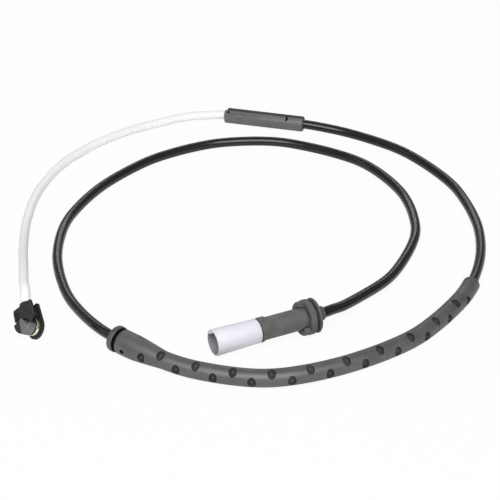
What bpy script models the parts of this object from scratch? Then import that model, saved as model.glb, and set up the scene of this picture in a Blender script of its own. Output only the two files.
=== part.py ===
"""A brake pad wear sensor lying on the floor, in metres, +Z up.

A moulded sensing head, a heat-proof hose, a two-shell clip splice, a black cable
with a dimpled rubber sleeve, and a round two-pin plug with a rubber grommet.
"""
import math

import bmesh
import bpy
from mathutils import Matrix, Vector

# Clearance between pieces that touch, and how far a lump runs into the one it is moulded on.
GAP = 0.0003
SINK = 0.0002
TURN = 32
CRISP = math.radians(35)

# Hose, cable and the wires in them, their bends' spacing and their straight start.
HOSE_R = 0.0021
CABLE_R = 0.00225
CORE_R = 0.00045
CORD_STEP = 0.0105
CORD_LEAD = 0.0010

# Where the hose and the cable run on the floor, end to end.
HOSE_ROUTE = (
    (-0.0025, 0.0128, 0.0135),
    (-0.0039, 0.0200, 0.0128),
    (-0.0051, 0.0291, 0.0112),
    (-0.0066, 0.0409, 0.0087),
    (-0.0082, 0.0524, 0.0062),
    (-0.0098, 0.0706, 0.0034),
    (-0.0103, 0.0820, 0.0025),
    (-0.0094, 0.1002, 0.0022),
    (-0.0076, 0.1116, 0.0022),
    (-0.0022, 0.1288, 0.0022),
    (0.0031, 0.1396, 0.0022),
    (0.0145, 0.1546, 0.0022),
    (0.0226, 0.1624, 0.0022),
    (0.0325, 0.1698, 0.0023),
    (0.0483, 0.1776, 0.0028),
    (0.0596, 0.1818, 0.0033),
)
CABLE_ROUTE = (
    (0.1380, 0.1676, 0.0025),
    (0.1586, 0.1548, 0.0023),
    (0.1715, 0.1417, 0.0023),
    (0.1843, 0.1218, 0.0023),
    (0.1906, 0.1044, 0.0023),
    (0.1945, 0.0810, 0.0023),
    (0.1932, 0.0572, 0.0028),
    (0.1875, 0.0347, 0.0038),
    (0.1793, 0.0179, 0.0039),
    (0.1648, -0.0016, 0.0039),
    (0.1511, -0.0138, 0.0039),
    (0.1302, -0.0260, 0.0039),
    (0.1080, -0.0338, 0.0039),
    (0.0899, -0.0346, 0.0038),
    (0.0671, -0.0293, 0.0043),
    (0.0503, -0.0207, 0.0054),
    (0.0315, -0.0057, 0.0055),
    (0.0187, 0.0142, 0.0032),
    (0.0114, 0.0314, 0.0024),
    (0.0064, 0.0546, 0.0023),
    (0.0068, 0.0781, 0.0023),
    (0.0115, 0.0955, 0.0023),
    (0.0219, 0.1159, 0.0023),
    (0.0377, 0.1349, 0.0023),
    (0.0521, 0.1463, 0.0023),
    (0.0739, 0.1564, 0.0023),
    (0.0980, 0.1588, 0.0023),
    (0.1158, 0.1547, 0.0023),
    (0.1371, 0.1439, 0.0023),
    (0.1506, 0.1312, 0.0023),
    (0.1622, 0.1096, 0.0023),
    (0.1662, 0.0865, 0.0023),
    (0.1644, 0.0681, 0.0023),
    (0.1554, 0.0451, 0.0024),
    (0.1461, 0.0302, 0.0036),
    (0.1304, 0.0115, 0.0065),
)

# Sensing head: its spool axis, the way back along the hose and the flange's centre.
HEAD_AXIS = Vector((-0.722, -0.444, 0.531)).normalized()
HEAD_BACK = Vector((-0.231, 0.877, 0.421))
HEAD_AT = Vector((0.00296, -0.00181, 0.00459))
FLANGE_R = 0.0049
FLANGE_THICK = 0.0008
FLANGE_BACK = 0.0100
FLANGE_BACK_HALF = 0.0041
FLANGE_CORNER = 0.0010
RIM_WIDE = 0.00045
RIM_HIGH = 0.0004
NECK_R = 0.00305
NECK_TOP = 0.0026
BLOCK_LEFT = -0.0048
BLOCK_RIGHT = 0.0058
BLOCK_FRONT = 0.00335
BLOCK_BACK = 0.0095
BLOCK_LOW = 0.0041
BLOCK_TOP = 0.0065
BLOCK_RIGHT_FALL = 0.0008
BLOCK_FRONT_FALL = 0.0010
WEB_HALF = 0.00145
FOOT_LEFT = -0.0037
FOOT_RIGHT = 0.0025
FOOT_FRONT = 0.0038
FOOT_BACK = 0.0087
RAIL_WIDE = 0.0013
RAIL_TOP = 0.0069
RAIL_BEND = 0.0075
GUARD_TOP = 0.0070
GUARD_SIDE = -0.0021
GUARD_OUTLINE = ((GUARD_SIDE, 0.0030), (-0.0052, 0.0026), (-0.0053, 0.0019), (-0.0048, -0.0002),
                 (-0.0036, -0.0019), (GUARD_SIDE, -0.0031))
BRIDGE_LEFT = -0.0050
BRIDGE_FRONT = 0.0024
BRIDGE_TOP = 0.0052
WEDGE_LEFT = 0.0001
WEDGE_TIP = Vector((0.0030, -0.0009, 0.0054))
WEDGE_RIDGE = 0.0059
COLLAR_X = 0.0002
COLLAR_Z = 0.0030
COLLAR_R = 0.0029
COLLAR_LONG = 0.0012
COLLAR_END = BLOCK_BACK + COLLAR_LONG
EDGE = 0.0003

# Spring ring and grey tip on the head's neck, and the wire loop in the tip.
RING_WALL = 0.0004
RING_TALL = 0.0020
RING_OPEN = math.radians(70)
TIP_R = 0.0037
TIP_TALL = 0.0040
TIP_EDGE = 0.0006
TIP_SKIN = 0.0006
LOOP_R = 0.0003
LOOP_X = -0.0005
LOOP_HALF = 0.0004
LOOP_LOW = 0.0037
LOOP_LEAD = 0.0014

# Splice: two half shells over the crimped wires.
SPLICE_AT = Vector((0.07909, 0.18273, 0.0038))
SPLICE_YAW = math.radians(-13.68)
SPLICE_R = 0.0038
SPLICE_LONG = 0.040
SPLICE_IN = 0.010
SPLICE_EDGE = 0.0006
SPLICE_SPLIT = math.radians(75)
REAR_START = 0.0010
LATCH_WIDE = 0.0008
LATCH_LONG = 0.0015
LATCHES = (0.0023, 0.0310)
CRIMP_R = 0.0010
CRIMP_LONG = 0.006
CRIMP_SIDE = 0.00115

# Rubber sleeve on the cable, measured along the cable's free run.
SLEEVE_FROM = 0.180
SLEEVE_TO = 0.3640
SLEEVE_R = 0.00375
SLEEVE_SIDES = 24
SLEEVE_EDGE = 0.0004
FLANGE_END_R = 0.0056
FLANGE_END_LONG = 0.0023
GROOVE_R = 0.0047
GROOVE_LONG = 0.0012
BARREL_R = 0.0053
BARREL_LONG = 0.0105
TAPER_LONG = 0.0245
TAPER_EASE = 1.2
DIMPLE_PITCH = 0.0154
DIMPLE_LONG = 0.0036
DIMPLE_DEEP = 0.0007
DIMPLE_SIDE = 0.0005
DIMPLE_ARC = math.radians(76)
DIMPLE_ROW = math.radians(62)
DIMPLE_TURN = math.radians(60)
DIMPLE_FIRST = 0.0126
SLEEVE_HOLE_R = 0.00075
SLEEVE_HOLE_AT = 0.0066
SLEEVE_HOLE_DEEP = 0.0016
SLEEVE_HOLE_TURN = math.radians(-20)

# Plug: the mouth's centre, the tail's centre and lengths along its axis.
PLUG_MOUTH = Vector((0.07645, -0.01802, 0.00866))
PLUG_TAIL = Vector((0.12150, 0.00473, 0.00758))
SHELL_LONG = 0.0202
SHELL_MOUTH_R = 0.0056
SHELL_REAR_R = 0.0051
SHELL_WALL = 0.0007
SHELL_EDGE = 0.0004
KEY_OFF = 0.0039
KEY_TURN = math.radians(127)
LIP_R = 0.00512
LIP_LONG = 0.0010
STEP_LONG = 0.0034
STEP_HALF = 0.0018
STEP_HIGH = 0.0003
BODY_R = 0.004675
BODY_END = 0.0415
BODY_BORE_R = 0.0029
SPIGOT_LONG = 0.0025
CARRIER_FROM = 0.0115
PIN_R = 0.0005
PIN_SIDE = 0.00135
PIN_FROM = 0.0065
PIN_TO = 0.0240
CABLE_IN = 0.0100
CABLE_TURN = Vector((0.0042, 0.0027, -0.0001))
DISC_R = 0.0075
DISC_LONG = 0.0026
NECK_GROOVE_R = 0.0046
NECK_GROOVE_LONG = 0.0014
REAR_DISC_LONG = 0.0010
CONE_LONG = 0.0016
CONE_R = 0.0033
TAIL_R = 0.0029
HUMP_LONG = 0.0023
HUMP_R = 0.0072
HUMP_MIDDLE = math.radians(140)
HUMP_HALF = math.radians(35)
LIP_UNDER_LONG = 0.0024
LIP_UNDER_R = 0.0073
LIP_UNDER_MIDDLE = math.radians(-60)
LIP_UNDER_HALF = math.radians(38)


def material(name, colour, roughness, metallic=0.0):
    """A Principled BSDF of one colour."""
    made = bpy.data.materials.new(name)
    made.use_nodes = True
    shader = made.node_tree.nodes["Principled BSDF"]
    shader.inputs["Base Color"].default_value = (*colour, 1.0)
    shader.inputs["Roughness"].default_value = roughness
    shader.inputs["Metallic"].default_value = metallic
    return made


def placing(origin, x, y, z):
    """The matrix that puts a piece's own axes on three world directions."""
    return Matrix.Translation(origin) @ Matrix((x, y, z)).transposed().to_4x4()


def add(name, bm, place, mat=None):
    """Adds a closed mesh as a smooth-shaded object, or as a hidden cutter when it has no material."""
    bm.transform(place)
    bmesh.ops.recalc_face_normals(bm, faces=bm.faces)
    if bm.calc_volume(signed=True) < 0:
        bmesh.ops.reverse_faces(bm, faces=bm.faces)
    mesh = bpy.data.meshes.new(name)
    bm.to_mesh(mesh)
    bm.free()
    mesh.shade_smooth()
    mesh.set_sharp_from_angle(angle=CRISP)
    obj = bpy.data.objects.new(name, mesh)
    bpy.context.scene.collection.objects.link(obj)
    if mat is None:
        obj.hide_render = True
        obj.display_type = 'WIRE'
    else:
        mesh.materials.append(mat)
    return obj


def combine(obj, other, operation):
    """Joins another object to this one, or cuts it away, with an exact Boolean."""
    step = obj.modifiers.new(other.name, 'BOOLEAN')
    step.operation = operation
    step.solver = 'EXACT'
    step.object = other


def box(low, high, edge=0.0):
    """A block between two corners, with its edges bevelled."""
    bm = bmesh.new()
    low = Vector(low)
    size = Vector(high) - low
    place = Matrix.Translation(low + size / 2) @ Matrix.Diagonal((*size, 1))
    bmesh.ops.create_cube(bm, size=1.0, matrix=place)
    if edge:
        bmesh.ops.bevel(bm, geom=bm.edges[:], offset=edge, offset_type='OFFSET', segments=2,
                        profile=0.5, affect='EDGES', material=-1)
    return bm


def post(start, end, radius, sides=TURN):
    """A round bar from one point to another."""
    bm = bmesh.new()
    start, end = Vector(start), Vector(end)
    run = end - start
    turn = run.to_track_quat('Z', 'Y').to_matrix().to_4x4()
    bmesh.ops.create_cone(bm, cap_ends=True, segments=sides, radius1=radius, radius2=radius,
                          depth=run.length, matrix=Matrix.Translation((start + end) / 2) @ turn)
    return bm


def turned(profile, steps=TURN):
    """A closed outline of (along, radius) points turned round the X axis."""
    bm = bmesh.new()
    verts = [bm.verts.new((along, radius, 0)) for along, radius in profile]
    edges = [bm.edges.new(pair) for pair in zip(verts, verts[1:])]
    if profile[0][1] > 0:
        edges.append(bm.edges.new((verts[-1], verts[0])))
    bmesh.ops.spin(bm, geom=verts + edges, cent=(0, 0, 0), axis=(1, 0, 0), angle=math.tau,
                   steps=steps, use_merge=True)
    bmesh.ops.remove_doubles(bm, verts=bm.verts, dist=1e-7)
    return bm


def trimmed(bm, point, normal):
    """Cuts away the side of a solid that a plane's normal points to, and closes the cut."""
    bmesh.ops.recalc_face_normals(bm, faces=bm.faces)
    cut = bmesh.ops.bisect_plane(bm, geom=bm.verts[:] + bm.edges[:] + bm.faces[:], dist=1e-7,
                                 plane_co=point, plane_no=normal, clear_outer=True)
    edges = [e for e in cut["geom_cut"] if isinstance(e, bmesh.types.BMEdge)]
    bmesh.ops.holes_fill(bm, edges=edges)
    return bm


def hull(points):
    """The convex solid round some points."""
    bm = bmesh.new()
    for point in points:
        bm.verts.new(point)
    found = bmesh.ops.convex_hull(bm, input=bm.verts)
    bmesh.ops.delete(bm, geom=found["geom_interior"], context='VERTS')
    return bm


def smooth(points, step):
    """Points on a smooth curve through the given ones, about one step apart."""
    ends = [points[0] * 2 - points[1]] + list(points) + [points[-1] * 2 - points[-2]]
    made = []
    for a, b, c, d in zip(ends, ends[1:], ends[2:], ends[3:]):
        count = max(1, round((c - b).length / step))
        for i in range(count):
            t = i / count
            made.append(0.5 * (2 * b + (c - a) * t + (2 * a - 5 * b + 4 * c - d) * t ** 2
                               + (3 * b - a - 3 * c + d) * t ** 3))
    return made + [points[-1]]


def along(line, distance):
    """The point and the heading at a distance along a line of points."""
    for a, b in zip(line, line[1:]):
        size = (b - a).length
        if distance <= size or b is line[-1]:
            return a + (b - a) * (distance / size), (b - a) / size
        distance -= size


def length_of(line):
    return sum((b - a).length for a, b in zip(line, line[1:]))


def cord(name, line, radius, mat):
    """A tube along a line of points, with filled ends."""
    data = bpy.data.curves.new(name, 'CURVE')
    data.dimensions = '3D'
    data.bevel_depth = radius
    data.bevel_resolution = 4
    data.use_fill_caps = True
    spline = data.splines.new('POLY')
    spline.points.add(len(line) - 1)
    for point, at in zip(spline.points, line):
        point.co = (*at, 1.0)
    spline.use_smooth = True
    data.materials.append(mat)
    obj = bpy.data.objects.new(name, data)
    bpy.context.scene.collection.objects.link(obj)
    return obj


def head_frame():
    back = (HEAD_BACK - HEAD_BACK.dot(HEAD_AXIS) * HEAD_AXIS).normalized()
    return placing(HEAD_AT, back.cross(HEAD_AXIS), back, HEAD_AXIS)


def splice_frame():
    return Matrix.Translation(SPLICE_AT) @ Matrix.Rotation(SPLICE_YAW, 4, 'Z')


def plug_frame():
    x = (PLUG_TAIL - PLUG_MOUTH).normalized()
    y = Vector((0, 0, 1)).cross(x).normalized()
    return placing(PLUG_MOUTH, x, y, x.cross(y))


def plug_long():
    return (PLUG_TAIL - PLUG_MOUTH).length


def hose_line():
    """The hose's centre line, from its seat in the head to its end in the splice."""
    head, splice = head_frame(), splice_frame()
    seat = BLOCK_BACK + GAP
    start = [head @ Vector((COLLAR_X, y, COLLAR_Z)) for y in (seat, COLLAR_END + CORD_LEAD)]
    end = [splice @ Vector((x, 0, 0)) for x in (-CORD_LEAD, SPLICE_IN)]
    return smooth(start + [Vector(p) for p in HOSE_ROUTE] + end, CORD_STEP)


def cable_line():
    """The cable's centre line, from its end in the splice to its end in the plug."""
    splice, plug = splice_frame(), plug_frame()
    inside = SPLICE_LONG - SPLICE_IN
    start = [splice @ Vector((x, 0, 0)) for x in (inside, SPLICE_LONG + CORD_LEAD)]
    end = [PLUG_TAIL + CABLE_TURN, PLUG_TAIL, plug @ Vector((plug_long() - CABLE_IN, 0, 0))]
    route = start + [Vector(p) for p in CABLE_ROUTE] + end
    return smooth(route, CORD_STEP)


def flange_outline():
    """The flange's edge: round at the front, its sides closing in a little to the back's corners."""
    points = []
    for i in range(17):
        turn = math.radians(180 + 180 * i / 16)
        points.append(Vector((FLANGE_R * math.cos(turn), FLANGE_R * math.sin(turn), -FLANGE_THICK)))
    across = FLANGE_BACK_HALF - FLANGE_CORNER
    for middle, first in ((across, 0), (-across, 90)):
        for i in range(4):
            turn = math.radians(first + 30 * i)
            points.append(Vector((middle + FLANGE_CORNER * math.cos(turn),
                                  FLANGE_BACK - FLANGE_CORNER + FLANGE_CORNER * math.sin(turn),
                                  -FLANGE_THICK)))
    return points


def flange_plate():
    """The flange with a raised rim round its upper face."""
    bm = bmesh.new()
    face = bm.faces.new([bm.verts.new(p) for p in flange_outline()])
    raised = bmesh.ops.extrude_face_region(bm, geom=[face])
    verts = [v for v in raised["geom"] if isinstance(v, bmesh.types.BMVert)]
    bmesh.ops.translate(bm, vec=(0, 0, FLANGE_THICK + RIM_HIGH), verts=verts)
    top = [f for f in raised["geom"] if isinstance(f, bmesh.types.BMFace)]
    bmesh.ops.inset_region(bm, faces=top, thickness=RIM_WIDE, use_even_offset=True)
    bmesh.ops.translate(bm, vec=(0, 0, -RIM_HIGH), verts=top[0].verts)
    return bm


def prism(outline, low, high):
    """An outline in the head's own X and Y, drawn out from one height to another."""
    bm = bmesh.new()
    face = bm.faces.new([bm.verts.new((x, y, low)) for x, y in outline])
    raised = bmesh.ops.extrude_face_region(bm, geom=[face])
    verts = [v for v in raised["geom"] if isinstance(v, bmesh.types.BMVert)]
    bmesh.ops.translate(bm, vec=(0, 0, high - low), verts=verts)
    return bm


def block_top(x, y):
    """The height of the block's upper face, which falls to the front and to the right."""
    aside = (x - BLOCK_LEFT) / (BLOCK_RIGHT - BLOCK_LEFT)
    ahead = (BLOCK_BACK - y) / (BLOCK_BACK - BLOCK_FRONT)
    return BLOCK_TOP - BLOCK_RIGHT_FALL * aside - BLOCK_FRONT_FALL * ahead


def block():
    """The slab that stands off the flange behind the tip."""
    corners = [(x, y) for x in (BLOCK_LEFT, BLOCK_RIGHT) for y in (BLOCK_FRONT, BLOCK_BACK)]
    low = [Vector((x, y, BLOCK_LOW)) for x, y in corners]
    return softened(hull(low + [Vector((x, y, block_top(x, y))) for x, y in corners]))


def rail():
    """The raised rail down the block's left side, a little inside its edges, lower at the back."""
    front, back, low = BLOCK_FRONT + SINK, BLOCK_BACK - SINK, BLOCK_LOW + SINK
    corners = [Vector((x, y, z)) for x in (BLOCK_LEFT + SINK, BLOCK_LEFT + RAIL_WIDE)
               for y, z in ((front, low), (back, low), (back, BLOCK_TOP), (RAIL_BEND, RAIL_TOP),
                            (front, RAIL_TOP))]
    return softened(hull(corners))


def softened(bm):
    """Rounds all the edges of a block."""
    bmesh.ops.dissolve_limit(bm, angle_limit=math.radians(1), verts=bm.verts, edges=bm.edges)
    bmesh.ops.bevel(bm, geom=bm.edges[:], offset=EDGE, offset_type='OFFSET', segments=2,
                    profile=0.5, affect='EDGES', material=-1)
    return bm


def wedge():
    """The roof-shaped wedge that runs from the block's front down beside the tip."""
    back = BLOCK_FRONT + SINK
    right = BLOCK_RIGHT - EDGE
    ridge = Vector(((WEDGE_LEFT + right) / 2, back, WEDGE_RIDGE))
    sides = [Vector((x, back, z)) for x in (WEDGE_LEFT, right) for z in (NECK_TOP, block_top(x, BLOCK_FRONT))]
    return hull(sides + [ridge, WEDGE_TIP, Vector((WEDGE_TIP.x, WEDGE_TIP.y, NECK_TOP))])


def wedge_room():
    """The notch in the tip that clears the wedge all round."""
    room = wedge()
    middle = Vector(((WEDGE_LEFT + BLOCK_RIGHT) / 2, (WEDGE_TIP.y + BLOCK_FRONT) / 2, 0))
    reach = (WEDGE_TIP - middle).xy.length
    bmesh.ops.scale(room, vec=[1 + GAP * 2.5 / reach] * 2 + [3], space=Matrix.Translation(-middle),
                    verts=room.verts)
    bmesh.ops.translate(room, vec=(0, 0, -NECK_TOP * 3 + NECK_TOP / 2), verts=room.verts)
    return room


def head_housing():
    mat = material("head_housing", (0.045, 0.044, 0.045), 0.55)
    place = head_frame()
    body = add("head_housing", flange_plate(), place, mat)
    foot = (FOOT_LEFT, FOOT_FRONT, -SINK), (FOOT_RIGHT, FOOT_BACK, BLOCK_LOW + SINK)
    bridge = (BRIDGE_LEFT, BRIDGE_FRONT, NECK_TOP + GAP), (GUARD_SIDE, BLOCK_FRONT + SINK, BRIDGE_TOP)
    web = (-WEB_HALF, 0, -SINK), (WEB_HALF, FOOT_FRONT + SINK, NECK_TOP)
    joins = (
        ("head_neck", post((0, 0, -SINK), (0, 0, NECK_TOP), NECK_R)),
        ("head_web", box(*web)),
        ("head_foot", box(*foot)),
        ("head_block", block()),
        ("head_rail", rail()),
        ("head_guard", prism(GUARD_OUTLINE, NECK_TOP + GAP, GUARD_TOP)),
        ("head_bridge", box(*bridge)),
        ("head_wedge", wedge()),
        ("head_collar", post((COLLAR_X, FOOT_FRONT + COLLAR_R, COLLAR_Z), (COLLAR_X, COLLAR_END, COLLAR_Z),
                             COLLAR_R)),
    )
    for name, bm in joins:
        combine(body, add(name, bm, place), 'UNION')
    seat = (COLLAR_X, BLOCK_BACK, COLLAR_Z), (COLLAR_X, COLLAR_END + SINK, COLLAR_Z)
    room = ((LOOP_X - LOOP_HALF - LOOP_R - GAP, BLOCK_FRONT - TIP_R, LOOP_LOW - LOOP_R - GAP),
            (COLLAR_X + LOOP_HALF + LOOP_R + GAP, BLOCK_BACK + SINK, LOOP_LOW + LOOP_R + GAP))
    combine(body, add("head_seat", post(*seat, HOSE_R + GAP), place), 'DIFFERENCE')
    combine(body, add("head_lead_room", box(*room), place), 'DIFFERENCE')
    return body


def spring_ring():
    mat = material("spring_ring", (0.80, 0.66, 0.30), 0.25, 1.0)
    inner = NECK_R + GAP
    low = GAP
    outline = ((low, inner), (low + RING_TALL, inner), (low + RING_TALL, inner + RING_WALL),
               (low, inner + RING_WALL))
    bm = turned(outline, 48)
    bm.transform(Matrix.Rotation(-math.pi / 2, 4, 'Y'))
    reach = FLANGE_R * 3
    half = RING_OPEN / 2
    slot = hull([Vector((x, y, z)) for z in (-reach, reach)
                 for x, y in ((0, 0), (reach * math.sin(half), reach * math.cos(half)),
                              (-reach * math.sin(half), reach * math.cos(half)))])
    ring = add("spring_ring", bm, head_frame(), mat)
    combine(ring, add("ring_opening", slot, head_frame()), 'DIFFERENCE')
    return ring


def wear_tip():
    mat = material("wear_tip", (0.22, 0.21, 0.22), 0.4)
    low = NECK_TOP + GAP
    top = low + TIP_TALL
    corner = TIP_EDGE * 0.3
    outline = ((low, 0), (low, TIP_R), (top - TIP_EDGE, TIP_R), (top - corner, TIP_R - corner),
               (top, TIP_R - TIP_EDGE), (top, 0))
    bm = turned(outline, 48)
    bm.transform(Matrix.Rotation(-math.pi / 2, 4, 'Y'))
    flat = Vector((GUARD_SIDE + GAP, 0, 0))
    tip = add("wear_tip", trimmed(bm, flat, Vector((-1, 0, 0))), head_frame(), mat)
    reach = LOOP_HALF + LOOP_R + GAP
    room = ((LOOP_X - reach, -LOOP_R - GAP * 2, low - SINK), (LOOP_X + reach, TIP_R * 2, top - TIP_SKIN))
    combine(tip, add("tip_wedge_room", wedge_room(), head_frame()), 'DIFFERENCE')
    combine(tip, add("tip_loop_room", box(*room), head_frame()), 'DIFFERENCE')
    return tip


def contact_loop():
    """The wire loop that the worn disc cuts through, with its two legs going back to the hose."""
    mat = material("contact_loop", (0.72, 0.43, 0.25), 0.3, 1.0)
    top = NECK_TOP + TIP_TALL - TIP_SKIN - LOOP_R - GAP
    back = BLOCK_BACK - LOOP_R
    left = [(COLLAR_X - LOOP_HALF, back, LOOP_LOW), (COLLAR_X - LOOP_HALF, back - LOOP_LEAD, LOOP_LOW),
            (LOOP_X - LOOP_HALF, BLOCK_FRONT, LOOP_LOW), (LOOP_X - LOOP_HALF, LOOP_LEAD, LOOP_LOW),
            (LOOP_X - LOOP_HALF, LOOP_R, (LOOP_LOW + top) / 2)]
    crown = [(LOOP_X - LOOP_HALF * 0.6, 0.0, top - LOOP_R), (LOOP_X, 0.0, top),
             (LOOP_X + LOOP_HALF * 0.6, 0.0, top - LOOP_R)]
    right = [(x + LOOP_HALF * 2, y, z) for x, y, z in left[::-1]]
    place = head_frame()
    return cord("contact_loop", [place @ Vector(p) for p in left + crown + right], LOOP_R, mat)


def heat_hose():
    mat = material("heat_hose", (0.87, 0.84, 0.87), 0.35)
    return cord("heat_hose", hose_line(), HOSE_R, mat)


def splice_tube(start):
    bore = CABLE_R + GAP
    outline = ((start, bore), (start, SPLICE_R - SPLICE_EDGE), (start + SPLICE_EDGE, SPLICE_R),
               (SPLICE_LONG - SPLICE_EDGE, SPLICE_R), (SPLICE_LONG, SPLICE_R - SPLICE_EDGE),
               (SPLICE_LONG, bore))
    return turned(outline)


def splice_normal():
    """The direction across the shells' parting plane, towards the front shell."""
    return Vector((0, -math.sin(SPLICE_SPLIT), -math.cos(SPLICE_SPLIT)))


def splice_shell_front():
    mat = material("splice_shell_front", (0.13, 0.125, 0.13), 0.5)
    across = splice_normal()
    half = trimmed(splice_tube(0.0), across * GAP / 2, -across)
    shell = add("splice_shell_front", half, splice_frame(), mat)
    down = Vector((1, 0, 0)).cross(across)
    turn = placing(Vector(), Vector((1, 0, 0)), across, down)
    for number, at in enumerate(LATCHES, 1):
        window = box((at, -GAP, -SPLICE_R - GAP), (at + LATCH_LONG, GAP / 2 + LATCH_WIDE, 0))
        cutter = add("splice_window_%d" % number, window, splice_frame() @ turn)
        combine(shell, cutter, 'DIFFERENCE')
    return shell


def splice_shell_rear():
    mat = material("splice_shell_rear", (0.08, 0.077, 0.08), 0.55)
    across = splice_normal()
    half = trimmed(splice_tube(REAR_START), -across * GAP / 2, across)
    return add("splice_shell_rear", half, splice_frame(), mat)


def splice_wires():
    """The crimp barrels and the wire ends that meet in them."""
    middle = SPLICE_LONG / 2
    for number, side in enumerate((-CRIMP_SIDE, CRIMP_SIDE), 1):
        mat = material("splice_crimp_%d" % number, (0.75, 0.74, 0.72), 0.3, 1.0)
        ends = (middle - CRIMP_LONG / 2, middle + CRIMP_LONG / 2)
        inner = CORE_R + GAP
        bm = turned(((ends[0], inner), (ends[0], CRIMP_R), (ends[1], CRIMP_R), (ends[1], inner)), 16)
        bm.transform(Matrix.Translation((0, side, 0)))
        add("splice_crimp_%d" % number, bm, splice_frame(), mat)
        runs = (("hose_core_%d" % number, SPLICE_IN + GAP, middle - GAP / 2, (0.80, 0.78, 0.74)),
                ("cable_core_%d" % number, middle + GAP / 2, SPLICE_LONG - SPLICE_IN - GAP,
                 (0.70, 0.40, 0.22)))
        for name, start, end, colour in runs:
            wire = post((start, side, 0), (end, side, 0), CORE_R, 12)
            add(name, wire, splice_frame(), material(name, colour, 0.35, 1.0))


def lead_cable():
    mat = material("lead_cable", (0.012, 0.012, 0.013), 0.25)
    return cord("lead_cable", cable_line(), CABLE_R, mat)


def sleeve_radius(back):
    """The sleeve's outer radius at a distance back from its flanged end."""
    if back <= BARREL_LONG:
        return BARREL_R
    share = min(1.0, (back - BARREL_LONG) / (TAPER_LONG - BARREL_LONG))
    return BARREL_R + (SLEEVE_R - BARREL_R) * share ** TAPER_EASE


def dimple_rows(reach):
    """(centre, row) of each ring of pockets, two opposite rows at a time."""
    found = []
    at, row = DIMPLE_FIRST, 1
    while at < reach:
        found.append((at, row))
        at += DIMPLE_PITCH / 2
        row = 1 - row
    return found


def sleeve_stations():
    """(distance, radius, pocket row or None) of every ring on the sleeve's outside."""
    long = SLEEVE_TO - SLEEVE_FROM
    rings = [(0.0, SLEEVE_R - SLEEVE_EDGE, None), (SLEEVE_EDGE, SLEEVE_R, None)]
    for at, row in dimple_rows(long - BARREL_LONG - DIMPLE_LONG):
        half = DIMPLE_LONG / 2
        floor = half - DIMPLE_SIDE
        for off, inside in ((-half, None), (-floor, row), (floor, row), (half, None)):
            rings.append((at + off, sleeve_radius(long - at - off), inside))
    last = rings[-1][0]
    for share in (0.25, 0.5, 0.75):
        at = last + (long - BARREL_LONG - last) * share
        rings.append((at, sleeve_radius(long - at), None))
    groove = FLANGE_END_LONG + GROOVE_LONG
    for back, radius in ((BARREL_LONG, BARREL_R), (groove + SLEEVE_EDGE, BARREL_R),
                         (groove, BARREL_R - SLEEVE_EDGE), (groove, GROOVE_R),
                         (FLANGE_END_LONG, GROOVE_R), (FLANGE_END_LONG, FLANGE_END_R - SLEEVE_EDGE),
                         (FLANGE_END_LONG - SLEEVE_EDGE, FLANGE_END_R), (SLEEVE_EDGE, FLANGE_END_R),
                         (0.0, FLANGE_END_R - SLEEVE_EDGE)):
        rings.append((long - back, radius, None))
    return rings


def ring_frame(at, heading):
    """A ring's placing: X away from the loop's inside, Y up, Z along the run."""
    out = Vector((0, 0, 1)).cross(heading).normalized()
    up = heading.cross(out)
    return Matrix.Translation(at) @ Matrix((out, up, heading)).transposed().to_4x4()


def pocketed(verts, place, row):
    """Pushes a ring's vertices in where its two opposite pockets lie."""
    back = place.inverted()
    for vert in verts:
        local = back @ vert.co
        turn = math.atan2(local.y, local.x)
        first = DIMPLE_ROW - row * DIMPLE_TURN
        for middle in (first, first + math.pi):
            off = abs((turn - middle + math.pi) % math.tau - math.pi)
            if off < DIMPLE_ARC / 2:
                pushed = local.xy * (1 - DIMPLE_DEEP / local.xy.length)
                vert.co = place @ Vector((pushed.x, pushed.y, 0))


def ring(bm, place, radius):
    """A circle of vertices round the sleeve's run."""
    made = bmesh.ops.create_circle(bm, cap_ends=False, segments=SLEEVE_SIDES, radius=radius, matrix=place)
    return made["verts"]


def band(bm, one, other):
    """Faces from each ring of vertices to the next."""
    for i in range(len(one)):
        bm.faces.new((one[i - 1], one[i], other[i], other[i - 1]))


def bore_places(line, first, last):
    """Where the sleeve's bore has its rings: level with its two ends, and on the cable's corners between."""
    ends, cuts = [], []
    for at in (first, last):
        point, heading = at.translation, at.col[2].xyz
        cut = min(range(len(line) - 1), key=lambda i: ((line[i] + line[i + 1]) / 2 - point).length)
        run = (line[cut + 1] - line[cut]).normalized()
        onto = line[cut] + run * ((point - line[cut]).dot(heading) / run.dot(heading))
        ends.append(ring_frame(onto, heading))
        cuts.append(cut)
    inside = []
    for i in range(cuts[0] + 1, cuts[1] + 1):
        clear = min((line[i] - end.translation).length for end in ends)
        if clear > CABLE_R:
            inside.append(ring_frame(line[i], (line[i + 1] - line[i - 1]).normalized()))
    return [ends[0]] + inside + [ends[1]]


def rubber_sleeve():
    mat = material("rubber_sleeve", (0.17, 0.165, 0.17), 0.6)
    line = cable_line()
    fine = smooth(line, CORD_STEP / 4)
    bm = bmesh.new()
    loops, places = [], []
    for at, radius, row in sleeve_stations():
        places.append(ring_frame(*along(fine, SPLICE_IN + SLEEVE_FROM + at)))
        loops.append(ring(bm, places[-1], radius))
        if row is not None:
            pocketed(loops[-1], places[-1], row)
    for place in bore_places(line, places[0], places[-1])[::-1]:
        loops.append(ring(bm, place, CABLE_R + GAP))
    for one, other in zip(loops, loops[1:] + loops[:1]):
        band(bm, one, other)
    sleeve = add("rubber_sleeve", bm, Matrix(), mat)
    place = ring_frame(*along(fine, SPLICE_IN + SLEEVE_TO - SLEEVE_HOLE_AT))
    out = Vector((math.cos(SLEEVE_HOLE_TURN), math.sin(SLEEVE_HOLE_TURN), 0))
    hole = post(out * (BARREL_R - SLEEVE_HOLE_DEEP), out * (BARREL_R + GAP), SLEEVE_HOLE_R, 16)
    combine(sleeve, add("sleeve_hole", hole, place), 'DIFFERENCE')
    return sleeve


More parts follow.
